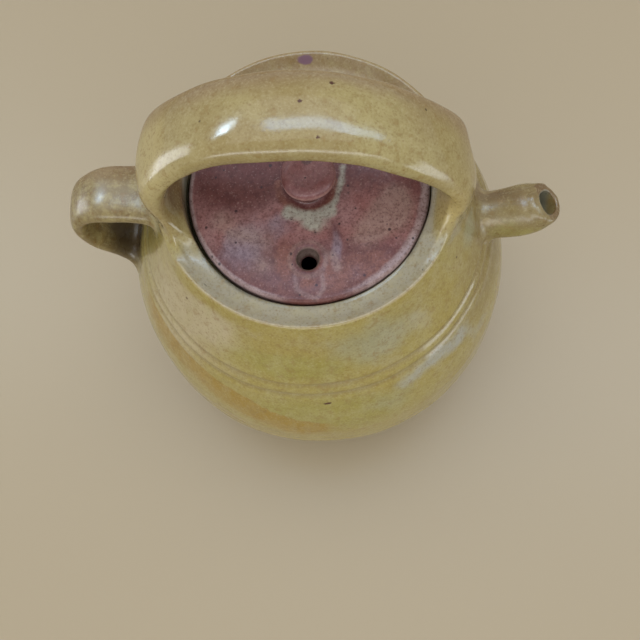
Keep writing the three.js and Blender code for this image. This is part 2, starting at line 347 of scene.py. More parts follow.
def spout_tube(p):
    """The spout's outside, without its mouth: wide at the root, with a swell behind the lip."""
    run, across = SPOUT.at(p)
    before_mouth = SPOUT_MOUTH_RUN - run
    root = smooth_step(30, 46, before_mouth)
    swell = hump(before_mouth, 13, 8)
    taper = smooth_step(9, -1, before_mouth)
    radius = SPOUT_RADIUS + 1.2 * root + 0.9 * swell - SPOUT_TAPER * taper
    return np.hypot(across, p[:, 1] - SPOUT_Y) - radius - 0.16 * waves(p, 17, 41)


def spout_bore(p):
    """The bore narrows a little and wanders 1 mm off the middle towards the mouth."""
    run, across = SPOUT.at(p)
    end = smooth_step(12, 0, SPOUT_MOUTH_RUN - run)
    bore = SPOUT_BORE - 0.7 * end
    return np.hypot(across + end, p[:, 1] - SPOUT_Y) - bore - 0.12 * waves(p, 11, 42)


def spout_mouth(p):
    """Past the plane of the mouth, which is worn and slightly chipped."""
    return (p - SPOUT_TIP) @ SPOUT_AIM - 0.3 * waves(p, 9, 43) - 0.15 * waves(p, 4, 44)


def spout_outside(p):
    return smooth_max(spout_tube(p), spout_mouth(p), SPOUT_LIP_ROUNDING)


def arch_fillet(p):
    """The clay is pressed into a wide hollow towards the lid and a tight one outside."""
    inner = smooth_step(67, 60, np.hypot(p[:, 0], p[:, 1]))
    return ARCH_OUTER_FILLET + (ARCH_INNER_FILLET - ARCH_OUTER_FILLET) * inner


def body_and_arch(p):
    return smooth_min(arch(p), thrown_body(p), arch_fillet(p))


def pot_outside(p):
    """The whole outside of the fired pot."""
    shape = smooth_min(ear(p), body_and_arch(p), EAR_FILLET)
    tube = smooth_max(spout_outside(p), -spout_bore(p), SPOUT_BORE_ROUNDING)
    return np.where(p[:, 0] > SPOUT_REGION_X, smooth_min(tube, shape, SPOUT_FILLET), shape)


# ---------------------------------------------------------------- meshes

# How many points a field is worked out for at once.
POINTS_AT_ONCE = 300000
# A point this near the whole skin takes its normal from that skin.
SKIN_REACH = 0.12


def net(field, low, high, step):
    """A closed surface round the place where the field is below zero, as vertices and quads.

    Each cell of the grid that the surface passes through gets one vertex, at the middle of
    the crossings on the cell's edges. Each edge that is crossed gets one quad.
    """
    axes = [np.arange(a, b + step, step) for a, b in zip(low, high)]
    shape = tuple(len(a) for a in axes)
    values = np.empty(shape, np.float32)
    ys, zs = np.meshgrid(axes[1], axes[2], indexing="ij")
    rows = max(1, POINTS_AT_ONCE // ys.size)
    for i in range(0, shape[0], rows):
        xs = axes[0][i:i + rows]
        p = np.stack([np.repeat(xs, ys.size), np.tile(ys.ravel(), len(xs)),
                      np.tile(zs.ravel(), len(xs))], 1)
        values[i:i + rows] = field(p).reshape(len(xs), *shape[1:])
    cells = tuple(n - 1 for n in shape)
    total = np.zeros((*cells, 3), np.float32)
    count = np.zeros(cells, np.float32)
    quads = []
    for axis in range(3):
        others = [a for a in range(3) if a != axis]
        start = [slice(None)] * 3
        end = [slice(None)] * 3
        start[axis], end[axis] = slice(None, -1), slice(1, None)
        a, b = values[tuple(start)], values[tuple(end)]
        crosses = (a < 0) != (b < 0)
        share = np.where(crosses, a / np.where(crosses, a - b, 1), 0)
        for first in (0, 1):
            for second in (0, 1):
                part = [slice(None)] * 3
                part[others[0]] = slice(first, first + cells[others[0]])
                part[others[1]] = slice(second, second + cells[others[1]])
                part = tuple(part)
                hit = crosses[part]
                total[..., axis] += share[part]
                total[..., others[0]] += first * hit
                total[..., others[1]] += second * hit
                count += hit
        place = np.argwhere(crosses)
        keep = (place[:, others[0]] > 0) & (place[:, others[1]] > 0)
        for other in others:
            keep &= place[:, other] < cells[other]
        place = place[keep]
        around = []
        for first, second in ((1, 1), (0, 1), (0, 0), (1, 0)):
            corner = place.copy()
            corner[:, others[0]] -= first
            corner[:, others[1]] -= second
            around.append(np.ravel_multi_index(corner.T, cells))
        quad = np.stack(around, 1)
        outward = (a < 0)[tuple(place.T)] == (axis != 1)
        quad[~outward] = quad[~outward][:, ::-1]
        quads.append(quad)
    active = count > 0
    number = np.full(cells, -1)
    number[active] = np.arange(active.sum())
    vertices = np.argwhere(active) + total[active] / count[active][:, None]
    return vertices * step + np.array([a[0] for a in axes]), number.ravel()[np.vstack(quads)]


def turned(profile, segments):
    """Surface of revolution of (radius, height) points that start and end on the axis."""
    ring = np.array(profile[1:-1], float)
    angle = 2 * math.pi * np.arange(segments) / segments
    x = ring[:, :1] * np.cos(angle)
    y = ring[:, :1] * np.sin(angle)
    z = np.repeat(ring[:, 1:], segments, 1)
    vertices = np.stack([x, y, z], 2).reshape(-1, 3)
    bottom, top = len(vertices), len(vertices) + 1
    vertices = np.vstack([vertices, [0, 0, profile[0][1]], [0, 0, profile[-1][1]]])
    column = np.arange(segments)
    after = (column + 1) % segments
    faces = []
    for row in range(len(ring) - 1):
        near, far = row * segments, (row + 1) * segments
        faces.append(np.stack([near + column, near + after, far + after, far + column], 1))
    faces = [list(map(int, face)) for face in np.vstack(faces)]
    last = (len(ring) - 1) * segments
    faces += [[bottom, int(b), int(a)] for a, b in zip(column, after)]
    faces += [[top, last + int(a), last + int(b)] for a, b in zip(column, after)]
    return vertices, faces


def add_piece(name, vertices, faces, normals=None):
    mesh = bpy.data.meshes.new(name)
    corners = [list(map(int, face)) for face in faces]
    mesh.from_pydata((np.asarray(vertices) * MM).tolist(), [], corners)
    mesh.validate()
    mesh.shade_smooth()
    if normals is not None:
        mesh.normals_split_custom_set_from_vertices(normals.tolist())
    piece = bpy.data.objects.new(name, mesh)
    bpy.context.scene.collection.objects.link(piece)
    return piece


def points_of(piece):
    """The piece's vertices, in millimetres."""
    flat = np.zeros(len(piece.data.vertices) * 3, np.float32)
    piece.data.vertices.foreach_get("co", flat)
    return flat.reshape(-1, 3).astype(float) / MM


def write_marks(piece, marks):
    for name, values in marks.items():
        attribute = piece.data.attributes.new(name, "FLOAT", "POINT")
        attribute.data.foreach_set("value", np.clip(values, 0, 1).astype(np.float32))


def cut_away(piece, cutter):
    """Takes the cutter's volume out of the piece and removes the cutter."""
    modifier = piece.modifiers.new("cut", "BOOLEAN")
    modifier.operation = "DIFFERENCE"
    modifier.solver = "EXACT"
    modifier.object = cutter
    evaluated = piece.evaluated_get(bpy.context.evaluated_depsgraph_get())
    mesh = bpy.data.meshes.new_from_object(evaluated)
    piece.modifiers.clear()
    piece.data = mesh
    bpy.data.objects.remove(cutter)


def add_cut_piece(name, field, skin, low, high, step):
    """A piece cut from the pot. Its normals follow the whole skin, so no seam shows."""
    vertices, quads = net(field, low, high, step)
    vertices = settle(field, vertices, most=0.5 * step)
    own = gradient(field, vertices)
    shared = gradient(skin, vertices)
    on_skin = np.abs(skin(vertices)) < SKIN_REACH
    normals = np.where(on_skin[:, None], shared, own)
    normals /= np.linalg.norm(normals, axis=1)[:, None] + 1e-9
    return add_piece(name, vertices, quads, normals)


# ---------------------------------------------------------------- body


def body_profile():
    """Outline of the thrown body: under the foot, up the outside to the recess, down the inside."""
    foot = [(0, 0), (20, 0), (40, 0), (50, 0), (56, 0)]
    heights = [0, 0.35, 1.1, 2.2, 3.2, 4.2, 5.2, 6.4, 8]
    heights += list(np.arange(10, 122, 2.0)) + list(np.arange(122, 141, 0.42))
    heights += list(np.arange(141.4, 168, 1.4)) + [168.5, 169.8, 171, 171.9, 172.6]
    outside = []
    for z in heights:
        tuck = FOOT_TUCK * (1 - min(z / FOOT_TUCK_HEIGHT, 1)) ** 2
        outside.append((float(wall_radius(z)) - tuck, z))
    outside += [(65.0, 173.1), (64.8, 173.5), (64.4, 173.8), (63.9, 173.95), (63.4, 173.8)]
    outside += [(r, float(np.interp(r, TOP_RADII, TOPS))) for r in np.arange(63, 54.4, -0.6)]
    inside = [(54.0, 169.1), (53.7, 169), (53.5, 168.8), (53.42, 168.5)]
    inside += [(RECESS_RADIUS, z) for z in (168, 167, 164.5, 161.8)] + [(53.2, 161.3)]
    inside += [(r, LEDGE_HEIGHT) for r in (52.7, 51, 49, 47)] + [(46.1, 160.8), (45.6, 160.2)]
    inside += [(THROAT_RADIUS, 159), (THROAT_RADIUS, 157.6), (45.9, 156.8), (47, 156), (50, 155)]
    inside += [(57.5, 153.2)]
    inside += [(float(wall_radius(z)) - WALL, z) for z in np.arange(149, 20, -4.0)]
    inside += [(70, 15.5), (64, 12.3), (59, 10.2), (54, 8.8), (48, 8.2), (36, 8), (18, 8), (0, 8)]
    return foot, outside, inside


def add_body():
    """The thrown body. Its outside is settled onto the field, above the edge of the foot."""
    foot, outside, inside = body_profile()
    vertices, faces = turned(foot + outside + inside, BODY_SEGMENTS)
    first = (len(foot) - 1) * BODY_SEGMENTS
    last = first + len(outside) * BODY_SEGMENTS
    moved = slice(first + BODY_STILL_ROWS * BODY_SEGMENTS, last)
    vertices[moved] = settle(thrown_body, vertices[moved], rounds=5, most=1.2)
    piece = add_piece("thrown_body", vertices, faces)
    hole = [(0, 0), (SPOUT_BORE, 0), (SPOUT_BORE, SPOUT_HOLE_LENGTH), (0, SPOUT_HOLE_LENGTH)]
    tube, sides = turned(hole, SPOUT_HOLE_SEGMENTS)
    aim = Vector(SPOUT_HOLE_AIM / np.linalg.norm(SPOUT_HOLE_AIM))
    tilt = np.array(Vector((0, 0, 1)).rotation_difference(aim).to_matrix())
    cut_away(piece, add_piece("cutter", tube @ tilt.T + SPOUT_HOLE_START, sides))
    return piece


# ---------------------------------------------------------------- arch, ear and spout

# How far a part's clay spreads, as a share of the fillet, and how deep it ends in the other clay.
SPREAD_SHARE = 0.97
BURIED = 0.8


def stuck_on(part, base, fillet):
    """The clay of one part, blended into what it is stuck on, ending just under that skin."""
    def field(p):
        apart, under = part(p), base(p)
        size = fillet(p)
        skin = smooth_min(apart, under, size)
        skin = np.maximum(skin, apart - SPREAD_SHARE * size)
        return np.maximum(skin, -BURIED - under)
    return field


def add_arch():
    stuck = stuck_on(arch, thrown_body, arch_fillet)

    def field(p):
        x, y, z = p.T
        lid_room = np.maximum(np.hypot(x, y) - RECESS_RADIUS, z - RIM_HEIGHT - LID_ROOM_OVER_RIM)
        return smooth_max(stuck(p), -lid_room, 1.0)

    low, high = (-83, -47, 146), (84, 45, 238)
    return add_cut_piece("arch_handle", field, body_and_arch, low, high, MESH_STEP)


def add_ear():
    field = stuck_on(ear, body_and_arch, lambda p: EAR_FILLET)

    def skin(p):
        return smooth_min(ear(p), body_and_arch(p), EAR_FILLET)

    return add_cut_piece("ear_strap", field, skin, (-116, -24, 92), (-58, 25, 177), MESH_STEP)


def add_spout():
    stuck = stuck_on(spout_outside, body_and_arch, lambda p: SPOUT_FILLET)

    def field(p):
        return smooth_max(stuck(p), -spout_bore(p), SPOUT_BORE_ROUNDING)

    def skin(p):
        blended = smooth_min(spout_outside(p), body_and_arch(p), SPOUT_FILLET)
        return smooth_max(blended, -spout_bore(p), SPOUT_BORE_ROUNDING)

    low, high = (62, -21, 114), (119, 20, 164)
    return add_cut_piece("spout_tube", field, skin, low, high, SPOUT_MESH_STEP)


# ---------------------------------------------------------------- lid and knob

LID_FACE = spline(
    [(0, LID_TOP), (8, LID_TOP), (20, LID_TOP - 0.4), (34, LID_TOP - 1.0), (44, LID_TOP - 1.5),
     (48, LID_TOP - 1.6), (50, LID_TOP - 1.5), (51.2, LID_TOP - 1.5), (53, LID_TOP - 1.7)], 30)


def lid_shape(p):
    """The thrown disc: a nearly flat face, a hollow underside, and the vent in its raised ring."""
    x, y, z = p.T
    r = np.hypot(x, y)
    edge = np.hypot(x - LID_CENTRE[0], y - LID_CENTRE[1]) - LID_RADIUS - LID_SPREAD
    edge = edge - 0.12 * waves(p, 40, 51)
    face = z - np.interp(r, LID_FACE[:, 0], LID_FACE[:, 1])
    face = face - 0.12 * waves(p, 30, 52) + 0.012 * np.sin(r * 1.9)
    under = LID_BOTTOM + LID_HOLLOW * (1 - smooth_step(39, 43, r)) - z
    shape = smooth_max(smooth_max(edge, face, 2.0), under, 1.5)
    from_vent = np.hypot(x - VENT[0], y - VENT[1])
    raised = 0.35 * hump(from_vent, 6.4, 1.6) * smooth_step(LID_TOP - 4, LID_TOP - 2, z)
    flare = VENT_FLARE * smooth_step(LID_TOP - 6.4, LID_TOP - 3.2, z)
    vent = from_vent - VENT_RADIUS - flare - 0.15 * waves(p, 8, 53)
    return smooth_max(shape - raised, -vent, 0.9)


def add_lid():
    reach = LID_RADIUS + 1.5
    low = (-reach, -reach, LID_BOTTOM - 1.2)
    high = (reach, reach, LID_TOP + 1.5)
    return add_cut_piece("lid_plate", lid_shape, lid_shape, low, high, LID_MESH_STEP)


def add_knob():
    """The knob, turned from its outline, then made a little uneven and leaned."""
    base = LID_TOP - 0.6
    outline = spline(
        [(9.9, base), (9.2, base + 0.5), (8.3, base + 1.3), (7.6, base + 2.8), (7.4, base + 5),
         (7.8, base + 7.2), (9, base + 9), (10.4, base + 10.4), (11.4, base + 11.6),
         (11.7, base + 12.8), (11.5, base + 14.2), (10.7, base + 15.4), (9.2, base + 16.2),
         (7.4, base + 16.4), (4.8, base + 16.1), (2.4, base + 15.9), (0.6, base + 15.9)], 7)
    profile = [(0, base), (5, base), (9, base), *map(tuple, outline), (0, base + 15.9)]
    vertices, faces = turned(profile, KNOB_SEGMENTS)
    lifted = smooth_step(base + 1, base + 8, vertices[:, 2])
    radial = vertices[:, :2] / (np.linalg.norm(vertices[:, :2], axis=1)[:, None] + 1e-6)
    vertices[:, :2] += radial * (0.28 * waves(vertices, 14, 61) * lifted)[:, None]
    vertices[:, 2] += 0.2 * waves(vertices, 12, 62) * lifted
    vertices[:, :2] += np.outer(smooth_step(base, base + 7, vertices[:, 2]), KNOB_LEAN)
    return add_piece("lid_button", vertices, faces)


# ---------------------------------------------------------------- where the glaze differs, and where light and shade are painted

# Spots of glaze colour, painted shade and painted highlights and reflections on the pot, each given
# as its strength, centre and reach.
POT_SPOTS = {
    # Painted shade left of the lid, under the arch's leg.
    "shade": [(0.8, (-50, -26, 169), (9, 14, 6)), (0.9, (-53, -10, 169), (6, 16, 7))],
    # Painted reflection: bluish-grey streaks of sky mirrored on the lower right belly.
    "painted_sky_reflection": [(1, (68, -57, 120), (10, 10, 6)), (1, (57, -66, 125), (10, 9, 4.5)),
             (0.6, (44, -76, 122), (12, 9, 6)), (0.5, (80, -48, 108), (10, 10, 8))],
    "speck": [(1.2, (6.4, -87.6, 123.3), (1.8, 2, 0.9)), (1, (2.7, 0.1, 235.5), 0.9),
              (1, (13.6, 8.1, 233.3), 0.9), (1, (8.7, -12.4, 233), 0.8)],
    "olive": [(0.9, (-8, -78, 148), (34, 26, 10)), (1, (6, -92, 110), (46, 30, 20)),
              (0.7, (97, -11, 139), (18, 7, 8))],
    # Grey-green glaze on the shoulders, and a painted sky reflection on the lower right belly.
    "grey_glaze_and_painted_reflection": [(1, (71, -15, 155), (8, 10, 8)), (0.45, (62, -50, 128), (20, 26, 14)),
             (0.95, (28, -64, 156), (25, 24, 15)), (0.55, (36, -84, 112), (20, 16, 14))],
    # Brown glaze round the spout's root and lip; painted shade in the hollows by the arch's feet
    # and left of the lid.
    "brown_and_painted_shade": [(1, (77, 14, 152), (9, 13, 11)), (0.6, (86, 8, 147), (9, 9, 6)),
             (1.2, (-54.5, -6, 181), (7, 10, 11)), (0.3, (57, -9, 172), (5, 6, 5)),
             (0.6, (-51, -22, 169.5), (7, 13, 4)), (0.6, (95, 1, 153), (14, 9, 4))],
    "gold": [(1, (58, -14, 185), (8, 12, 15))],
    "mauve": [(1, (-1, 61, 173.5), (4.6, 2.4, 3))],
    # Painted reflection: the shoulders paler where the glaze mirrors the bright table.
    "pale": [(0.7, (-40, -56, 160), (18, 14, 13)), (0.5, (40, -60, 155), (20, 20, 12))],
    # A straw tone on the arch's left, partly glaze and partly painted highlight.
    "straw_and_painted_highlight": [(1, (-58, -8, 208), (19, 24, 20))],
}

# The upper edge of the amber crescent on the belly: degrees round from +X, and heights.
CRESCENT_TURNS = [-160, -128, -110, -96, -80]
CRESCENT_TOPS = [128, 124, 119, 108, 103]


def spot(p, centre, reach):
    """1 at the centre, fading out over the reach, which is one size or one for each axis."""
    away = (p[:, :len(centre)] - np.array(centre)) / np.array(reach)
    return np.exp(-(away * away).sum(1))


def spots(p, places):
    return sum(strength * spot(p, centre, reach) for strength, centre, reach in places)


def stroke(p, points, width):
    """1 along a line drawn from above, fading out over the width."""
    nearest = np.full(len(p), 1e9)
    for a, b in zip(np.array(points[:-1], float), np.array(points[1:], float)):
        share = np.clip(((p[:, :2] - a) @ (b - a)) / ((b - a) @ (b - a)), 0, 1)
        away = p[:, :2] - a - share[:, None] * (b - a)
        nearest = np.minimum(nearest, (away * away).sum(1))
    return np.exp(-nearest / width**2)


def bend(field, p, reach):
    """How sharply the surface turns, per millimetre: above 0 on ridges, below 0 in hollows."""
    total = -6 * field(p)
    for e in np.eye(3) * reach:
        total += field(p + e) + field(p - e)
    return total / reach**2


def pot_marks(p):
    """How strongly each glaze effect, painted shade and painted reflection shows, from 0 to 1, at
    points on the fired pot.
    """
    x, y, z = p.T
    r = np.hypot(x, y)
    degrees = np.degrees(np.arctan2(y, x))
    crescent_top = np.interp(degrees, CRESCENT_TURNS, CRESCENT_TOPS)
    crescent = smooth_step(crescent_top + 0.8, crescent_top - 1.4, z)
    crescent *= smooth_step(crescent_top - 34, crescent_top - 5, z)
    crescent *= smooth_step(-172, -150, degrees) * smooth_step(-72, -100, degrees)
    crescent *= 1 - 0.35 * smooth_step(-112, -135, degrees)
    lip = 1.5 * smooth_step(-1.3, -0.3, spout_mouth(p)) * smooth_step(103, 107, x + 0.5 * y)
    collar = smooth_step(167.5, 169.5, z) * smooth_step(65.2, 62.6, r) * smooth_step(178, 173, z)
    collar *= 1 - 0.6 * smooth_step(20, 50, y)
    # Less pale collar left of the lid, where the leg's shade is painted.
    collar *= 1 - 0.9 * spot(p, (-52, -22, 169), (14, 14, 10))
    # Painted shade in the dark gap round the lid, deeper on the left.
    recess_painted_shade = smooth_step(55.4, 53.7, r) * (z > 160) * smooth_step(174, 171, z)
    # Painted shade on the right shoulder towards the spout.
    spout_side = smooth_step(50, 92, x) * smooth_step(95, 130, z) * (z < 172)
    under_arch = smooth_step(3, 0, arch(p)) * (z > 180) + smooth_step(150, 166, z) * (z < 180)
    # Painted reflection of the bright table on the left shoulder.
    left_shoulder_painted_reflection = spot(p, (-62, -48, 140), (26, 34, 32)) * smooth_step(170, 165, z)
    pool = smooth_step(0.035, 0.17, -bend(pot_outside, p, 3.2))
    marks = {name: spots(p, places) for name, places in POT_SPOTS.items()}
    marks["shade"] += spout_side
    marks["brown_and_painted_shade"] += lip
    marks["pale"] += left_shoulder_painted_reflection
    return marks | {
        "thin": smooth_step(0.24, 0.85, bend(pot_outside, p, 1.1)) * smooth_step(103, 99, x),
        "pool": pool * smooth_step(80, 70, x) * smooth_step(-86, -76, x),
        # Painted shade inside the ear loop, on the body and the ear.
        "ear_loop_painted_shade": spot(p, (-93, 1, 121), (12, 17, 22)) * smooth_step(-106, -101, x),
        "strap": smooth_step(7, 1, np.minimum(arch(p), ear(p))),
        "umber": smooth_step(6, -1, np.minimum(ear(p), spout_tube(p))),
        "collar": collar,
        "groove": sum(hump(z, height - 0.2, 2.0) for height in GROOVE_HEIGHTS),
        "recess_painted_shade": recess_painted_shade * (0.45 + 0.55 * smooth_step(10, -30, x)),
        "amber": crescent,
        # Browner glaze and painted shade under and behind the arch at the back.
        "back_brown_and_painted_shade": smooth_step(-4, 17, y) * under_arch,
        "inside": smooth_step(0.9, 0.1, spout_bore(p)) * smooth_step(110, 108, x) * (x > 70),
        "foot": smooth_step(5.6, 4.2, z - 0.9 * waves(p, 30, 71)),
    }


def lid_marks(p):
    """How strongly each glaze effect and each painted shade shows, from 0 to 1, at points on the
    lid.
    """
    x, y, z = p.T
    r = np.hypot(x, y)
    from_vent = np.hypot(x - VENT[0], y - VENT[1])
    ash = stroke(p, [(-8, -12.5), (3, -15), (10, -12)], 3.3)
    ash = np.maximum(ash, 0.75 * stroke(p, [(8, -13), (12.2, -8), (14.6, 0), (15.8, 8)], 1.9))
    ash = np.maximum(ash, spot(p, (3, -17), (6.4, 5.4)))
    blotches = stroke(p, [(24, -23), (33, -15), (38, -8)], 6.6)
    blotches += 0.8 * stroke(p, [(10.5, -31), (13, -37)], 2.6)
    blotches += 0.8 * stroke(p, [(-37, -15), (-30, -21), (-18, -24)], 6)
    blotches += spots(p, [(0.9, (36, -13), (10, 12)), (0.7, (-18, -36), 6)])
    halo = 0.9 * hump(from_vent, 7.6, 1.5)
    halo = np.maximum(halo, stroke(p, [(-5, -41), (-4, -47), (4, -51)], 1.7))
    halo = np.maximum(halo, stroke(p, [(6.5, -40), (7, -46), (4, -51)], 1.6))
    brown_and_painted_shade = spots(p, [(1, (-9.5, -34), (4.5, 12)), (1, (11, -40), (7, 8)),
                     (0.8, (0, -44.5), 3.6), (0.8, (28, -36), (12, 9))])
    # Painted shade: a darker ring on the lid in front of the knob.
    brown_and_painted_shade += 0.7 * hump(r, 12.4, 2.6) * (y < 3)
    violet = spots(p, [(1, (-27, -26), 10), (1, (12.5, -29), (2.6, 10)),
                       (0.6, (-12, -18), 8), (0.5, (30, 10), 16)])
    # Darker glaze in patches, with painted shade on the back of the lid under the arch and in a
    # ring round the knob.
    dark = spots(p, [(1, (-32, 2), (20, 18)), (0.8, (12, -22), (4, 7))])
    dark += 1.3 * smooth_step(-16, 16, y + 0.12 * x) + hump(np.hypot(x - 1, y + 1), 11, 2.4)
    middle_front = hump(x, 4, 19) * (y < 0)
    upper = smooth_step(LID_TOP - 8, LID_TOP - 5, z)
    return {
        "ash": ash * upper,
        "blotch": blotches * upper,
        "halo": halo * upper,
        "brown_and_painted_shade": brown_and_painted_shade * upper,
        "violet": violet * upper,
        "dark": dark * upper,
        # The rim paler where the glaze thins, with a painted highlight along it, less so in the
        # middle of the front.
        "edge": smooth_step(48.6 - 2.2 * (x > 0), 51.0, r) * (1 - 0.85 * middle_front),
        "front": smooth_step(-16, -36, y) * upper,
        "bore": smooth_step(5.6, 4.7, from_vent) * upper,
    }


def knob_marks(p):
    """How strongly each glaze effect and the painted shade under the knob shows, from 0 to 1, at
    points on the knob.
    """
    x, y, z = p.T
    return {
        "ring": hump(z, KNOB_TOP - 5.6, 0.9) * (np.hypot(x, y) > 9),
        "dark": spot(p, (1.2, 3.5), (3, 2.2)) * smooth_step(KNOB_TOP - 5, KNOB_TOP - 3, z),
        # Painted shade: the stem darker under the knob's overhang.
        "brown_and_painted_shade": smooth_step(KNOB_TOP - 8, KNOB_TOP - 11, z),
    }


# ---------------------------------------------------------------- glazes


def linear(r, g, b):
    """Linear colour of an sRGB one given from 0 to 255."""
    shares = [c / 255 for c in (r, g, b)]
    lit = [c / 12.92 if c <= 0.04045 else ((c + 0.055) / 1.055) ** 2.4 for c in shares]
    return (*lit, 1.0)


class Glaze:
    """A node material in the making. Sizes of patterns are in millimetres."""

    def __init__(self, name):
        self.material = bpy.data.materials.new(name)
        self.material.use_nodes = True
        self.tree = self.material.node_tree
        self.shader = self.tree.nodes["Principled BSDF"]
        self.place = self.node("ShaderNodeTexCoord").outputs["Object"]

    def node(self, kind, inputs=(), **settings):
        """A node with its settings and with its inputs linked or set."""
        node = self.tree.nodes.new(kind)
        for name, value in settings.items():
            setattr(node, name, value)
        for key, value in dict(inputs).items():
            if isinstance(value, bpy.types.NodeSocket):
                self.tree.links.new(value, node.inputs[key])
            else:
                node.inputs[key].default_value = value
        return node

    def stretched(self, x, y, z):
        inputs = {0: self.place, 1: (x, y, z)}
        return self.node("ShaderNodeVectorMath", inputs, operation="MULTIPLY").outputs[0]

    def noise(self, size, seed, detail=2.0, roughness=0.5, twist=0.0, place=None):
        inputs = {"Vector": place or self.place, "W": seed, "Scale": 1000 / size, "Detail": detail,
                  "Roughness": roughness, "Distortion": twist}
        return self.node("ShaderNodeTexNoise", inputs, noise_dimensions="4D").outputs[0]

    def math(self, operation, a, b=0.0, c=0.0):
        return self.node("ShaderNodeMath", {0: a, 1: b, 2: c}, operation=operation).outputs[0]

    def fade(self, low, high, value, bottom=0.0, top=1.0):
        inputs = {"Value": value, "From Min": low, "From Max": high,
                  "To Min": bottom, "To Max": top}
        return self.node("ShaderNodeMapRange", inputs, interpolation_type="SMOOTHSTEP").outputs[0]

    def mark(self, name):
        return self.node("ShaderNodeAttribute", attribute_name=name).outputs["Fac"]

    def ragged(self, name, noise, amount, low=0.35, high=0.65):
        """A mark whose outline wanders with the noise."""
        mark = self.mark(name)
        shifted = self.math("MULTIPLY_ADD", self.math("SUBTRACT", noise, 0.5), amount, mark)
        return self.math("MULTIPLY", self.fade(low, high, shifted), self.fade(0.02, 0.2, mark))

    def mix(self, share, a, b, way="MIX"):
        inputs = {0: share, 6: a, 7: b}
        settings = {"data_type": "RGBA", "blend_type": way, "clamp_factor": True}
        return self.node("ShaderNodeMix", inputs, **settings).outputs[2]

    def over(self, colour, *layers):
        """Tints laid over the colour in turn, each given as its share, strength and sRGB colour."""
        for share, strength, tint in layers:
            colour = self.mix(self.math("MULTIPLY", share, strength), colour, linear(*tint))
        return colour

    def dots(self, cell, radius, kept, soften=0.4):
        """Round dots in some of the cells: cell and radius in millimetres, kept from 0 to 1."""
        inputs = {"Vector": self.place, "Scale": 1000 / cell}
        node = self.node("ShaderNodeTexVoronoi", inputs, feature="F1")
        pick = self.node("ShaderNodeSeparateColor", {0: node.outputs["Color"]}).outputs
        size = self.math("MAXIMUM", self.math("MULTIPLY", pick[1], radius / cell), 0.01)
        near = self.fade(1.0, soften, self.math("DIVIDE", node.outputs["Distance"], size))
        return self.math("MULTIPLY", near, self.math("LESS_THAN", pick[0], kept))

    def bump(self, heights):
        """Adds fine relief from pairs of height and depth in millimetres."""
        normal = None
        for height, depth in heights:
            inputs = {"Height": height, "Distance": depth * MM, "Strength": 1.0}
            if normal is not None:
                inputs["Normal"] = normal
            normal = self.node("ShaderNodeBump", inputs).outputs[0]
        self.tree.links.new(normal, self.shader.inputs["Normal"])

    def finish(self, colour, roughness, gloss=0.5):
        self.tree.links.new(colour, self.shader.inputs["Base Color"])
        self.tree.links.new(roughness, self.shader.inputs["Roughness"])
        self.shader.inputs["Specular IOR Level"].default_value = gloss
        return self.material


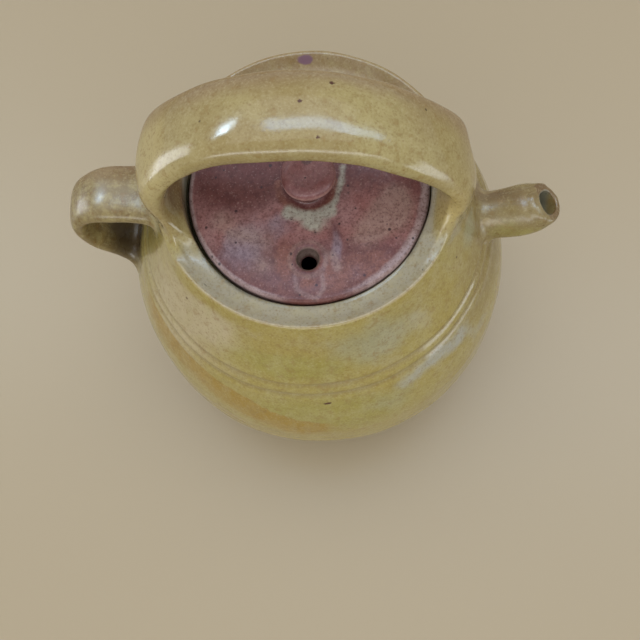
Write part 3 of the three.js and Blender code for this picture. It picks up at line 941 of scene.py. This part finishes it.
def pot_glaze(name):
    """Honey and olive ash glaze, browner on the ear and spout, with runs, specks and bare clay."""
    g = Glaze(name)
    clouds = g.noise(46, 1.0, detail=3, twist=0.6)
    patches = g.noise(13, 2.0, detail=4, roughness=0.6)
    mottle = g.noise(3.2, 3.0, detail=3, roughness=0.6)
    grain = g.noise(0.9, 4.0, detail=2)
    runs = g.noise(4.5, 5.0, detail=3, place=g.stretched(1, 1, 0.1))
    colour = g.mix(g.fade(0.35, 0.65, clouds), linear(174, 160, 94), linear(170, 152, 80))
    colour = g.over(colour, (g.fade(0.5, 0.75, patches), 0.55, (178, 164, 122)))
    strap_colour = g.mix(g.fade(0.4, 0.6, clouds), linear(174, 159, 106), linear(161, 142, 92))
    strap_colour = g.over(strap_colour, (g.fade(0.48, 0.72, mottle), 0.3, (156, 138, 76)))
    colour = g.mix(g.mark("strap"), colour, strap_colour)
    umber = g.mix(g.fade(0.35, 0.7, patches), linear(148, 132, 90), linear(126, 106, 66))
    umber = g.over(
        umber,
        (g.fade(0.42, 0.64, mottle), 0.75, (108, 86, 52)),
        (g.fade(0.5, 0.32, mottle), 0.55, (166, 152, 102)),
    )
    colour = g.mix(g.math("MULTIPLY", g.mark("umber"), 0.9), colour, umber)
    off_strap = g.math("SUBTRACT", 1.0, g.mark("strap"))
    colour = g.over(
        colour,
        # Painted shade.
        (g.ragged("shade", patches, 0.5, 0.1, 0.9), 0.8, (140, 122, 78)),
        (g.ragged("olive", patches, 0.9, 0.2, 0.75), 0.75, (161, 152, 72)),
        # Straw glaze tone, partly painted highlight.
        (g.ragged("straw_and_painted_highlight", patches, 0.7, 0.15, 0.9), 0.6, (200, 183, 130)),
        # Painted reflection of the bright table on the shoulders.
        (g.ragged("pale", patches, 0.7, 0.2, 0.9), 0.68, (202, 188, 162)),
        # Grey-green glaze, partly painted sky reflection.
        (g.ragged("grey_glaze_and_painted_reflection", patches, 0.8, 0.2, 0.95), 0.68, (158, 160, 136)),
        (g.ragged("amber", mottle, 0.25, 0.25, 0.7), 0.88, (164, 130, 42)),
        (g.ragged("pool", patches, 0.5, 0.15, 0.85), 0.5, (168, 162, 132)),
        (g.ragged("collar", patches, 0.6, 0.1, 0.9), 0.74, (180, 178, 168)),
        # Painted shade in the gap round the lid.
        (g.mark("recess_painted_shade"), 0.75, (66, 70, 68)),
        # Brown glaze, and painted shade in hollows.
        (g.ragged("brown_and_painted_shade", patches, 0.8, 0.25, 0.8), 0.75, (106, 76, 46)),
        # Painted reflection of the sky on the lower right belly.
        (g.ragged("painted_sky_reflection", patches, 1.2, 0.2, 0.85), 0.75, (176, 180, 178)),
        # Browner glaze and painted shade under the arch at the back.
        (g.ragged("back_brown_and_painted_shade", patches, 0.9, 0.2, 1.0), 0.7, (140, 110, 82)),
        (g.ragged("groove", patches, 1.1, 0.3, 1.1), 0.5, (140, 116, 64)),
        (g.ragged("thin", patches, 0.5, 0.3, 0.9), 0.45, (178, 156, 116)),
        (g.ragged("gold", patches, 0.6, 0.2, 0.8), 0.75, (206, 184, 118)),
        (g.math("MULTIPLY", g.fade(0.42, 0.7, runs), off_strap), 0.26, (182, 172, 118)),
    )
    dappled = g.fade(0.42, 0.72, mottle, top=0.2)
    colour = g.mix(dappled, colour, linear(150, 128, 72), "MULTIPLY")
    colour = g.over(
        colour,
        (g.fade(0.35, 0.7, patches), 0.16, (200, 188, 140)),
        (g.fade(0.52, 0.7, grain), 0.42, (136, 110, 64)),
        (g.fade(0.48, 0.32, grain), 0.3, (192, 178, 134)),
        (g.fade(0.56, 0.68, mottle), 0.3, (158, 124, 70)),
        (g.dots(2.2, 0.8, 0.45, 0.2), 0.45, (130, 96, 50)),
        (g.dots(9, 1.15, 0.3, 0.5), 0.8, (66, 44, 30)),
        # Painted shade inside the ear loop.
        (g.ragged("ear_loop_painted_shade", patches, 0.6, 0.1, 0.8), 0.85, (62, 48, 34)),
        (g.mark("inside"), 0.8, (132, 132, 116)),
        (g.ragged("mauve", mottle, 0.5), 1.0, (128, 98, 112)),
        (g.ragged("speck", grain, 0.6, 0.3, 0.6), 1.0, (84, 50, 32)),
    )
    foot = g.ragged("foot", mottle, 0.15)
    bare_clay = g.mix(grain, linear(142, 104, 74), linear(170, 134, 98))
    colour = g.mix(foot, colour, bare_clay)
    roughness = g.fade(0.3, 0.7, patches, bottom=0.10, top=0.2)
    roughness = g.math("MULTIPLY_ADD", g.mark("umber"), 0.14, roughness)
    roughness = g.math("MULTIPLY_ADD", g.mark("collar"), 0.2, roughness)
    roughness = g.math("MAXIMUM", roughness, g.math("MULTIPLY", foot, 0.75))
    pits = g.math("SUBTRACT", 1.0, g.dots(4.2, 0.4, 0.4))
    g.bump([(g.noise(9, 6.0, detail=2), 0.10), (mottle, 0.035), (grain, 0.012), (pits, 0.05)])
    return g.finish(colour, roughness)


def lid_glaze(name):
    """Satin reddish mauve glaze with pale grey-green and violet runs and dark specks."""
    g = Glaze(name)
    clouds = g.noise(24, 11.0, detail=3, twist=0.8)
    patches = g.noise(8, 12.0, detail=4, roughness=0.65)
    mottle = g.noise(2.6, 13.0, detail=3, roughness=0.65)
    grain = g.noise(0.95, 14.0, detail=2, roughness=0.7)
    colour = g.mix(g.fade(0.36, 0.64, clouds), linear(156, 104, 100), linear(178, 136, 134))
    colour = g.over(
        colour,
        # Darker glaze, and painted shade under the arch and round the knob.
        (g.ragged("dark", clouds, 1.3, 0.1, 1.15), 0.9, (98, 47, 42)),
        (g.ragged("front", patches, 0.5, 0.1, 0.9), 0.85, (112, 66, 58)),
        (g.ragged("violet", patches, 1.0, 0.2, 0.8), 0.75, (154, 136, 146)),
        # Brown glaze, and the painted shade in front of the knob.
        (g.ragged("brown_and_painted_shade", patches, 0.8, 0.25, 0.8), 0.6, (150, 98, 80)),
        (g.ragged("blotch", patches, 1.0, 0.15, 1.15), 0.62, (178, 152, 140)),
        (g.ragged("ash", patches, 1.2, 0.22, 0.9), 0.88, (192, 192, 176)),
        (g.ragged("halo", patches, 1.3, 0.3, 1.1), 0.38, (186, 164, 156)),
        (g.mark("bore"), 0.8, (128, 116, 106)),
        # Paler rim where the glaze thins, partly painted highlight.
        (g.ragged("edge", patches, 0.7, 0.3, 0.9), 0.72, (190, 170, 168)),
    )
    dappled = g.fade(0.4, 0.7, mottle, top=0.45)
    colour = g.mix(dappled, colour, linear(150, 110, 110), "MULTIPLY")
    colour = g.over(
        colour,
        (g.fade(0.56, 0.72, grain), 0.3, (200, 168, 162)),
        (g.fade(0.5, 0.32, grain), 0.52, (84, 46, 48)),
        (g.dots(1.5, 0.34, 0.2, 0.3), 0.32, (196, 166, 156)),
        (g.dots(3.4, 1.1, 0.3, 0.5), 0.85, (52, 36, 42)),
    )
    roughness = g.fade(0.3, 0.7, patches, bottom=0.3, top=0.46)
    g.bump([(g.noise(7, 15.0), 0.10), (mottle, 0.06), (grain, 0.03)])
    return g.finish(colour, roughness, gloss=0.26)


def knob_glaze(name):
    """The lid's glaze with a pale line round the knob and painted shade darkening the stem under
    it.
    """
    g = Glaze(name)
    patches = g.noise(6, 21.0, detail=4, roughness=0.6)
    mottle = g.noise(2.2, 22.0, detail=3, roughness=0.65)
    grain = g.noise(0.75, 23.0, detail=2, roughness=0.7)
    colour = g.mix(g.fade(0.36, 0.64, patches), linear(142, 92, 90), linear(154, 108, 108))
    colour = g.over(
        colour,
        (g.ragged("ring", mottle, 0.5, 0.2, 0.9), 0.6, (190, 148, 138)),
        # Painted shade on the stem under the knob.
        (g.ragged("brown_and_painted_shade", mottle, 0.4, 0.3, 0.8), 0.85, (92, 54, 48)),
        (g.ragged("dark", mottle, 0.8, 0.3, 0.7), 0.7, (84, 66, 70)),
    )
    dappled = g.fade(0.42, 0.7, mottle, top=0.4)
    colour = g.mix(dappled, colour, linear(150, 110, 110), "MULTIPLY")
    colour = g.over(
        colour,
        (g.fade(0.52, 0.68, grain), 0.35, (196, 160, 154)),
        (g.dots(3.0, 0.95, 0.3, 0.5), 0.85, (52, 36, 42)),
    )
    roughness = g.fade(0.3, 0.7, patches, bottom=0.26, top=0.42)
    g.bump([(g.noise(5, 24.0), 0.12), (mottle, 0.05), (grain, 0.025)])
    return g.finish(colour, roughness, gloss=0.36)


# ---------------------------------------------------------------- assemble

ARCH_NODES = ["carrying_handle", "carrying_handle_left_root", "carrying_handle_right_root"]
PIECES = [
    (add_body(), "pot", "honey_glaze", ["body_shell"]),
    (add_arch(), "pot", "handle_glaze", ARCH_NODES),
    (add_ear(), "pot", "handle_glaze", ["ear_handle", "ear_handle_lower_root"]),
    (add_spout(), "pot", "honey_glaze", ["spout", "spout_luting_coil"]),
    (add_lid(), "lid", "lid_glaze", ["lid_disc"]),
    (add_knob(), "lid", "knob_glaze", ["lid_knob", "knob_luting_coil"]),
]
LOOKS = {
    "honey_glaze": (pot_glaze, pot_marks),
    "handle_glaze": (pot_glaze, pot_marks),
    "lid_glaze": (lid_glaze, lid_marks),
    "knob_glaze": (knob_glaze, knob_marks),
}
MATERIALS = {slot: glaze(slot) for slot, (glaze, _) in LOOKS.items()}

for piece, rides_on, slot, nodes in PIECES:
    piece.data.materials.clear()
    piece.data.materials.append(MATERIALS[slot])
    write_marks(piece, LOOKS[slot][1](points_of(piece)))
    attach(piece, rides_on)
    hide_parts(*nodes)

# ---------------------------------------------------------------- studio, in metres and watts

FLOOR_SIZE = 6
FLOOR_COLOUR = (186, 171, 143)
FLOOR_ROUGHNESS = 0.45
FLOOR_GLOSS = 0.3
WORLD_COLOUR = (0.98, 0.99, 1.0, 1)
WORLD_STRENGTH = 0.57

SENSOR_WIDTH_MM = 36
LENS_MM = 39.375
CAMERA_PLACE = Vector((0.02218, -0.13485, 0.44616))
CAMERA_RIGHT = Vector((0.9982, -0.0010, -0.0604))
CAMERA_UP = Vector((0.0167, 0.9652, 0.2611))
CAMERA_AIM = Vector((-0.0580, 0.2617, -0.9634))


def add_area_light(name, place, target, size, power, colour=(1, 1, 1), only_gloss=False):
    light = bpy.data.lights.new(name, "AREA")
    light.shape = "RECTANGLE"
    light.size, light.size_y = size
    light.energy = power
    light.color = colour
    lamp = bpy.data.objects.new(name, light)
    lamp.visible_diffuse = not only_gloss
    lamp.location = place
    lamp.rotation_mode = "QUATERNION"
    lamp.rotation_quaternion = (Vector(target) - Vector(place)).to_track_quat("-Z", "Y")
    bpy.context.scene.collection.objects.link(lamp)


def add_floor():
    bpy.ops.mesh.primitive_plane_add(size=FLOOR_SIZE, location=(0, 0, 0))
    floor = bpy.context.object
    floor.name = "floor"
    material = bpy.data.materials.new("floor")
    material.use_nodes = True
    shader = material.node_tree.nodes["Principled BSDF"]
    shader.inputs["Base Color"].default_value = linear(*FLOOR_COLOUR)
    shader.inputs["Roughness"].default_value = FLOOR_ROUGHNESS
    shader.inputs["Specular IOR Level"].default_value = FLOOR_GLOSS
    floor.data.materials.append(material)


def add_world():
    world = bpy.data.worlds.new("studio")
    world.use_nodes = True
    background = world.node_tree.nodes["Background"]
    background.inputs["Color"].default_value = WORLD_COLOUR
    background.inputs["Strength"].default_value = WORLD_STRENGTH
    bpy.context.scene.world = world


def add_camera():
    """The camera at the photograph's angle: high in front, looking down on the lid."""
    camera = bpy.data.cameras.new("camera")
    camera.sensor_width = SENSOR_WIDTH_MM
    camera.lens = LENS_MM
    viewer = bpy.data.objects.new("camera", camera)
    axes = Matrix((CAMERA_RIGHT, CAMERA_UP, -CAMERA_AIM)).transposed().to_4x4()
    viewer.matrix_world = Matrix.Translation(CAMERA_PLACE) @ axes
    bpy.context.scene.collection.objects.link(viewer)
    bpy.context.scene.camera = viewer


# Two soft lights on everything, then five that are seen only in the gloss of the glaze.
PALE_BLUE = (0.9, 0.95, 1.0)
add_area_light("sky", (0, 0.35, 2.2), (0, 0, 0.1), (2.6, 2.0), 17)
add_area_light("front", (-0.2, -1.5, 0.98), (-0.2, 0, 0.15), (2.4, 0.8), 6.5, (0.97, 0.98, 1.0))
for name, place, target, size, power, colour in (
    ("strip", (0.62, 0.24, 1.5), (0.62, 0.1, 0.2), (2.1, 0.34), 15, (0.4, 0.64, 1.0)),
    ("pane", (-0.96, 0.5, 1.36), (-0.05, 0.5, 0.3), (0.3, 0.26), 7, (0.62, 0.82, 1.0)),
    ("window", (-1.35, 0.26, 0.42), (0, 0.26, 0.42), (0.5, 0.78), 6.2, PALE_BLUE),
    ("front_band", (0.1, -1.35, 0.92), (0.1, 0, 0.25), (2.4, 0.3), 8, PALE_BLUE),
    ("right_band", (1.42, -0.62, 0.27), (0, -0.1, 0.2), (1.0, 0.46), 5.5, (0.85, 0.92, 1.0)),
):
    add_area_light(name, place, target, size, power, colour, only_gloss=True)
add_world()
add_floor()
add_camera()
bpy.context.scene.view_settings.view_transform = "Standard"
